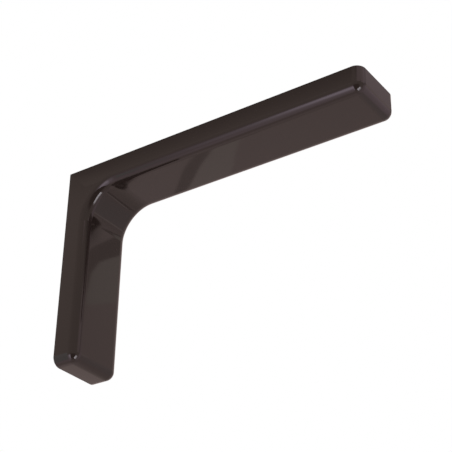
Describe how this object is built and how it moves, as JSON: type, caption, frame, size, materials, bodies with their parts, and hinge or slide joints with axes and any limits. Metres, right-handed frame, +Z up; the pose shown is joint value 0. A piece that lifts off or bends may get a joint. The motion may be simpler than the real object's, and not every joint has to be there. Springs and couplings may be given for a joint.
{
  "type": "shelf bracket",
  "caption": "Covered L-shaped shelf bracket: a folded steel angle with screw holes, hidden under one clip-on moulded plastic cover with rounded ridges and closed ends.",
  "frame": {"origin": "on the wall plane, midway between the two wall screw holes, in the middle of the bracket's width", "axes": "+X out from the wall along the shelf arm, +Z up, +Y across the width; the shelf plane is at z = 75 mm"},
  "size_m": [0.24, 0.045, 0.15],
  "materials": {
    "cover_plastic": "glossy dark brown moulded plastic",
    "zinc_steel": "zinc-plated sheet steel"
  },
  "bodies": {
    "root": {"cover": "cover_plastic", "steel_bracket": "zinc_steel"}
  },
  "joints": []
}
